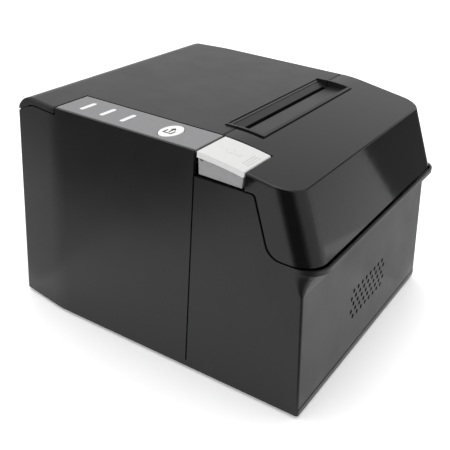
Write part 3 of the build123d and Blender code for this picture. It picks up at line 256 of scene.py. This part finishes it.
def metal(name, color, roughness, stretch):
    """Drawn or rolled metal with fine lines along one direction."""
    finish = Finish(name, color, roughness, metallic=1.0)
    lines = finish.noise(2500, detail=3, stretch=stretch)
    finish.vary_color(lines, 0.12)
    finish.vary_roughness(lines, 0.08)
    finish.bump(lines, 0.004 * MM)
    return finish


def make_finishes():
    made = {
        "casing": moulded("charcoal_casing", (0.008, 0.008, 0.0084), 0.34),
        "cover_gloss": polished("black_cover", (0.005, 0.005, 0.0053), 0.06),
        "strip_grey": moulded("grey_strip", (0.185, 0.185, 0.19), 0.42, depth=0.005 * MM, variation=0.03),
        "lever_light": moulded("light_lever", (0.57, 0.57, 0.565), 0.4, depth=0.005 * MM, variation=0.02),
        # painted shade: the recessed lever arm gets a darker grey than the cap, standing in for the shade
        # it lies in
        "lever_mid": moulded("lever_arm_painted_shade", (0.25, 0.25, 0.255), 0.5, variation=0.04),
        "button_white": moulded("white_button", (0.74, 0.74, 0.73), 0.35, depth=0.004 * MM, variation=0.02),
        "window_white": moulded("white_window", (0.7, 0.7, 0.7), 0.25, depth=0.003 * MM, variation=0.02),
        "inner_plastic": moulded("inner_black", (0.012, 0.012, 0.012), 0.5),
        "gear_nylon": moulded("natural_nylon", (0.62, 0.60, 0.54), 0.45, grain=0.8 * MM, depth=0.01 * MM),
        "steel": metal("steel", (0.56, 0.56, 0.57), 0.3, (0.03, 1, 1)),
        "zinc_steel": metal("zinc_sheet", (0.46, 0.47, 0.48), 0.42, (1, 0.08, 1)),
        "aluminium": metal("aluminium", (0.68, 0.68, 0.69), 0.38, (0.05, 1, 1)),
        "rubber": moulded("rubber", (0.014, 0.014, 0.014), 0.75, grain=0.25 * MM, depth=0.03 * MM),
        "board_green": moulded("solder_mask", (0.012, 0.13, 0.05), 0.35, grain=1.2 * MM, depth=0.02 * MM),
        "socket_black": moulded("socket_black", (0.014, 0.014, 0.014), 0.5),
    }
    return {slot: finish.material for slot, finish in made.items()}


BEVELLED = (
    "front_housing", "rear_housing", "top_cover", "lid_shell", "base_plate", "exit_frame_front",
    "exit_guide_rear", "connector_panel", "lever_arm", "switch_frame",
)


def dress_cad_nodes():
    """Gives each CAD node its finish and smooth shading, and the nodes in BEVELLED a fine edge radius."""
    slots = {part["node"]: part["material_slot"] for part in frame["record"]["subparts"]}
    for name, piece in nodes.items():
        piece.data.materials.clear()
        piece.data.materials.append(materials[slots[name]])
        piece.data.polygons.foreach_set("use_smooth", [True] * len(piece.data.polygons))
        piece.data.set_sharp_from_angle(angle=math.radians(30))
    for name in BEVELLED:
        bevel = nodes[name].modifiers.new("edge_radius", "BEVEL")
        bevel.width = 0.2 * MM
        bevel.segments = 2
        bevel.limit_method = "ANGLE"
        bevel.angle_limit = math.radians(40)
        bevel.use_clamp_overlap = True
        bevel.harden_normals = True


# ---------------------------------------------------------------- detail pieces


def piece(name, form, slot, body):
    """Links a finished mesh as one piece in a slot's finish, riding on a body."""
    mesh = bpy.data.meshes.new(name)
    bmesh.ops.recalc_face_normals(form, faces=form.faces[:])
    form.to_mesh(mesh)
    form.free()
    mesh.materials.append(materials[slot])
    made = bpy.data.objects.new(name, mesh)
    scene.collection.objects.link(made)
    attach(made, body)
    return made


def surface_point(node, x, y):
    """The highest point of a CAD node at this x and y."""
    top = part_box(node)[1][2]
    hit, place, _, _ = nodes[node].ray_cast(Vector((x, y, top + 10 * MM)), Vector((0, 0, -1)))
    return place if hit else Vector((x, y, top))


def skin(form, rings):
    """A closed solid through rings of as many points each, capped at both ends."""
    rings = [[form.verts.new(point) for point in ring] for ring in rings]
    form.faces.new(rings[0][::-1])
    form.faces.new(rings[-1])
    count = len(rings[0])
    for below, above in zip(rings[:-1], rings[1:]):
        for i in range(count):
            j = (i + 1) % count
            form.faces.new((below[i], below[j], above[j], above[i]))


def draped(form, outline, node, rise, sink=0.3 * MM):
    """A closed outline laid on a CAD node's surface and raised by rise."""
    upper = [surface_point(node, x, y) + Vector((0, 0, rise)) for x, y in outline]
    lower = [point - Vector((0, 0, rise + sink)) for point in upper]
    skin(form, (lower, upper))


def bar(form, low, high, taper=0.2):
    """A block whose top is drawn in a little on all sides."""
    inset = taper * min(high[0] - low[0], high[1] - low[1])
    rings = []
    for z, d in ((low[2], 0), (high[2] - inset, 0), (high[2], inset)):
        x0, y0, x1, y1 = low[0] + d, low[1] + d, high[0] - d, high[1] - d
        rings.append([(x0, y0, z), (x1, y0, z), (x1, y1, z), (x0, y1, z)])
    skin(form, rings)


def make_button_mark():
    """A generic feed mark on the button: a sheet with an arrow rising from it."""
    low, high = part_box("feed_button")
    cx, cy = (low[0] + high[0]) / 2, (low[1] + high[1]) / 2
    rise = 0.04 * MM
    form = bmesh.new()
    strokes = [
        [(-3.4, -2.3), (-2.6, -2.3), (-2.6, 2.3), (-3.4, 2.3)],
        [(-2.6, -2.3), (0.4, -2.3), (0.4, -1.6), (-2.6, -1.6)],
        [(-2.6, 1.6), (0.4, 1.6), (0.4, 2.3), (-2.6, 2.3)],
        [(-1.6, -0.4), (1.4, -0.4), (1.4, -1.5), (3.6, 0.0), (1.4, 1.5), (1.4, 0.4), (-1.6, 0.4)],
    ]
    for stroke in strokes:
        draped(form, [(cx + x * MM, cy + y * MM) for x, y in stroke], "feed_button", rise)
    piece("feed_mark", form, "socket_black", "button")


def make_lever_marks():
    """A raised arrow and three finger ridges on the lever's cap."""
    low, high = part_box("lever_cap")
    cx, cy = (low[0] + high[0]) / 2, (low[1] + high[1]) / 2
    arrow = [(-2.4, 1.0), (0.0, 4.4), (2.4, 1.0), (0.9, 1.0), (0.9, -3.2), (-0.9, -3.2), (-0.9, 1.0)]
    ridge_half, ridge_width, ridge_pitch, first_ridge = 5 * MM, 0.5 * MM, 1.3 * MM, 1.7 * MM
    form = bmesh.new()
    draped(form, [(cx + x * MM, cy + y * MM) for x, y in arrow], "lever_cap", 0.12 * MM)
    for step in range(3):
        x0, x1 = cx - ridge_half, cx + ridge_half
        y0 = low[1] + first_ridge + step * ridge_pitch
        y1 = y0 + ridge_width
        draped(form, [(x0, y0), (x1, y0), (x1, y1), (x0, y1)], "lever_cap", 0.15 * MM)
    piece("lever_marks", form, "lever_light", "lever")


def make_tear_teeth():
    """A row of small steel teeth that stand into the paper slit just under its front lip."""
    low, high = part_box("fixed_blade")
    end_gap, sheet, teeth = 0.5 * MM, 0.4 * MM, 60
    pitch = (high[0] - low[0] - 2 * end_gap) / teeth
    lip = high[1] + 0.2 * MM
    root, gullet, tip = lip - 1.2 * MM, lip - 0.3 * MM, lip + 0.45 * MM
    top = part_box("exit_guide_rear")[1][2] - 3.6 * MM
    form = bmesh.new()
    for tooth in range(teeth):
        x0 = low[0] + end_gap + tooth * pitch
        x1 = x0 + pitch
        outline = [(x0, root), (x1, root), (x1, gullet), ((x0 + x1) / 2, tip), (x0, gullet)]
        skin(form, [[(x, y, z) for x, y in outline] for z in (top - sheet, top)])
    piece("tear_teeth", form, "steel", "lid")


def cast(node, start, direction):
    """Where a ray from start first meets a CAD node."""
    hit, place, _, _ = nodes[node].ray_cast(Vector(start), Vector(direction))
    if not hit:
        raise RuntimeError(f"no surface of {node} from {start}")
    return place


def make_painted_parting_shade():
    """A dark strip in the parting line under the rounded back of the top cover, as painted shade: it keeps
    the gap dark where light would show through.
    """
    low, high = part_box("top_cover")
    first, last = high[1] - 7.2 * MM, high[1] - 0.7 * MM
    clear, recess, probe = 0.02 * MM, 0.7 * MM, 1.2 * MM
    steps = 8
    rings = []
    for step in range(steps + 1):
        y = first + (last - first) * step / steps
        side = cast("rear_housing", (2 * low[0], y, low[2] - 3 * MM), (1, 0, 0)).x
        above = cast("top_cover", (side + probe, y, low[2] - MM), (0, 0, 1)).z - clear
        below = cast("rear_housing", (side + probe, y, above - clear), (0, 0, -1)).z + clear
        half = -side - recess
        rings.append([(-half, y, below), (half, y, below), (half, y, above), (-half, y, above)])
    form = bmesh.new()
    skin(form, rings)
    # painted shade: a black strip that stands in for the shade inside the parting gap
    piece("painted_parting_shade", form, "socket_black", "housing")


def coil(name, stands_for, start, along, across, radius, wire, turns, length):
    """A closed-end helical steel spring from start, running along one direction."""
    start, along, across = Vector(start), Vector(along), Vector(across)
    other = along.cross(across)
    curve = bpy.data.curves.new(name, "CURVE")
    curve.dimensions = "3D"
    curve.bevel_depth = wire
    curve.bevel_resolution = 3
    curve.use_fill_caps = True
    steps = int(turns * 20)
    line = curve.splines.new("POLY")
    line.points.add(steps)
    for i in range(steps + 1):
        turn = i / steps * turns
        share = min(1, max(0, (turn - 1) / (turns - 2))) * (length - 4 * wire) + min(turn, 1) * wire
        share += min(max(turn - turns + 1, 0), 1) * wire
        angle = 2 * math.pi * turn
        point = start + along * share + radius * (math.cos(angle) * across + math.sin(angle) * other)
        line.points[i].co = (*point, 1)
    curve.materials.append(materials["steel"])
    made = bpy.data.objects.new(name, curve)
    scene.collection.objects.link(made)
    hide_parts(stands_for)
    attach(made, "housing")


def make_springs():
    """Helical springs in place of the CAD's ring stacks."""
    x_way, y_way = (1, 0, 0), (0, 1, 0)
    low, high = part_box("head_springs")
    wire, turns = 0.45 * MM, 5
    length, radius = high[1] - low[1], (high[2] - low[2]) / 2 - wire
    ends = (("head_coil_left", low[0] + radius + wire), ("head_coil_right", high[0] - radius - wire))
    for name, x in ends:
        start = (x, low[1] + wire, (low[2] + high[2]) / 2)
        coil(name, "head_springs", start, y_way, x_way, radius, wire, turns, length)
    low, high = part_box("lever_spring")
    wire, turns = 0.28 * MM, 7
    length, radius = high[0] - low[0], (high[2] - low[2]) / 2 - wire
    start = (low[0] + wire, (low[1] + high[1]) / 2, (low[2] + high[2]) / 2)
    coil("lever_coil", "lever_spring", start, x_way, y_way, radius, wire, turns, length)


def make_contacts():
    """Contact springs inside the data and drawer sockets, and the pins of the power inlet."""
    rows = (
        ("usb_socket", 4, 3.4), ("network_socket", 8, 3.4),
        ("drawer_socket", 6, 3.4), ("power_inlet", 3, 2.8),
    )
    reach, setback = 11 * MM, 3.6 * MM
    for name, count, level in rows:
        low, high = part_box(name)
        span = (high[0] - low[0]) * 0.44
        pitch = span / count
        half = min(0.28 * pitch, 0.5 * MM)
        z0, z1 = low[2] + (level - 0.1) * MM, low[2] + (level + 0.25) * MM
        form = bmesh.new()
        for i in range(count):
            x = (low[0] + high[0]) / 2 - span / 2 + (i + 0.5) * pitch
            bar(form, (x - half, high[1] - reach, z0), (x + half, high[1] - setback, z1))
        piece(name + "_contacts", form, "steel", "housing")


def make_board_parts():
    """Chips with legs and chip resistors on the main board. Plan sizes and places are in millimetres."""
    top = 13.6 * MM
    packages = ((-12, 12, 14, 14), (17, 12, 12, 6), (30, 0, 8, 6), (-30, 10, 8, 5))
    leg_pitch, leg_half, leg_reach, leg_height = 1.4, 0.2, 1.1 * MM, 0.35 * MM
    chips, legs = bmesh.new(), bmesh.new()
    for cx, cy, w, d in packages:
        low = ((cx - w / 2) * MM, (cy - d / 2) * MM, top + 0.15 * MM)
        high = ((cx + w / 2) * MM, (cy + d / 2) * MM, top + 1.9 * MM)
        bar(chips, low, high, 0.02)
        for i in range(int(w / leg_pitch)):
            x = cx - w / 2 + 1.0 + i * leg_pitch
            x0, x1 = (x - leg_half) * MM, (x + leg_half) * MM
            for sign in (-1, 1):
                edge = (cy + sign * d / 2) * MM
                outer = edge + sign * leg_reach
                bar(legs, (x0, min(edge, outer), top), (x1, max(edge, outer), top + leg_height))
    resistors, length, width, height = 26, 1.6 * MM, 0.8 * MM, 0.5 * MM
    for i in range(resistors):
        x, y = (-34 + i * 37 % 70) * MM, (32 + i * 53 % 12) * MM
        bar(chips, (x, y, top), (x + length, y + width, top + height), 0.1)
    piece("board_chips", chips, "socket_black", "housing")
    piece("board_legs", legs, "steel", "housing")


make_camera()
make_studio()
materials = make_finishes()
dress_cad_nodes()
make_button_mark()
make_lever_marks()
make_tear_teeth()
make_painted_parting_shade()
make_springs()
make_contacts()
make_board_parts()
